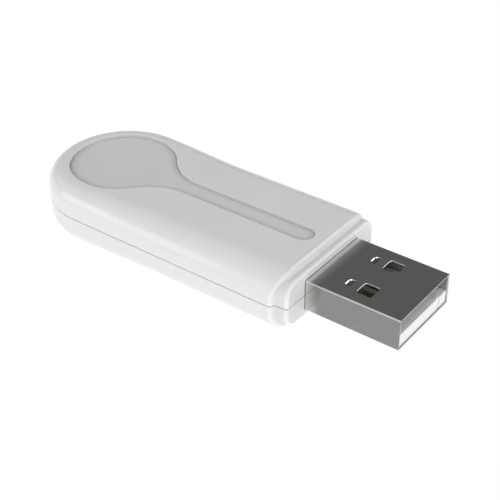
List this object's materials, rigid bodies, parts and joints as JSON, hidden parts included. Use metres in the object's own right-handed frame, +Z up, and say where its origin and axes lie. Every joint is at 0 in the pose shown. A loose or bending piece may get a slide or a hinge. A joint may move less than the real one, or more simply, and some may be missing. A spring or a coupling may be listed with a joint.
{
  "type": "usb wifi adapter",
  "caption": "Slim white wireless network adapter with a round head, a recessed keyhole press pad and a metal USB-A plug.",
  "frame": {"origin": "centre of the adapter's plan box, on the flat underside of the casing", "axes": "+X out along the USB plug, +Y across the width to the left when looking along +X, +Z up out of the press pad's face"},
  "size_m": [0.0602, 0.0214, 0.0084],
  "materials": {
    "casing": "satin white moulded plastic",
    "pad": "fine matt white moulded plastic",
    "nickel": "bright nickel-plated pressed steel",
    "insulator": "white moulded nylon",
    "gold": "gold flash over copper alloy",
    "board": "green solder mask over glass laminate",
    "epoxy": "black moulded epoxy",
    "tin": "dull tinned sheet",
    "ferrite": "dark sintered body",
    "ceramic": "tan sintered body",
    "lens": "clear pale resin",
    "copper": "copper foil under clear mask",
    "paper": "blank silver-grey polyester label"
  },
  "bodies": {
    "casing": {"top_shell": "casing", "bottom_shell": "casing", "rating_label": "paper", "usb_shell": "nickel", "usb_insulator": "insulator", "contact_ground": "gold", "contact_data_plus": "gold", "contact_data_minus": "gold", "contact_power": "gold", "circuit_board": "board", "shield_can": "tin", "antenna_trace": "copper", "switch_cup": "epoxy", "switch_dome": "tin", "switch_cover": "tin", "wifi_chip": "epoxy", "crystal": "tin", "voltage_regulator": "epoxy", "power_inductor": "ferrite", "surge_chip": "epoxy", "input_fuse": "ferrite", "bulk_capacitor": "ceramic", "status_led": "lens", "memory_chip": "epoxy", "antenna_filter": "ceramic", "capacitor_1": "ceramic", "resistor_1": "ferrite", "capacitor_2": "ceramic", "resistor_2": "ferrite", "capacitor_3": "ceramic", "resistor_3": "ferrite", "capacitor_4": "ceramic", "resistor_4": "ferrite"},
    "press_pad": {"press_pad": "pad"},
    "switch_plunger": {"switch_plunger": "epoxy"}
  },
  "joints": [
    {"name": "pad_press", "type": "hinge", "parent": "casing", "child": "press_pad", "pos_m": [0.01183, 0, 0.0075], "axis": [0, -1, 0], "range_deg": [0, 0.5], "stiffness_Nm_per_rad": 4},
    {"name": "plunger_travel", "type": "slide", "parent": "casing", "child": "switch_plunger", "axis": [0, 0, -1], "range_m": [0, 0.0003], "deforming": ["switch_dome"]}
  ],
  "couplings": [
    {"joint": "plunger_travel", "follows": "pad_press", "m_per_rad": 0.03123}
  ]
}
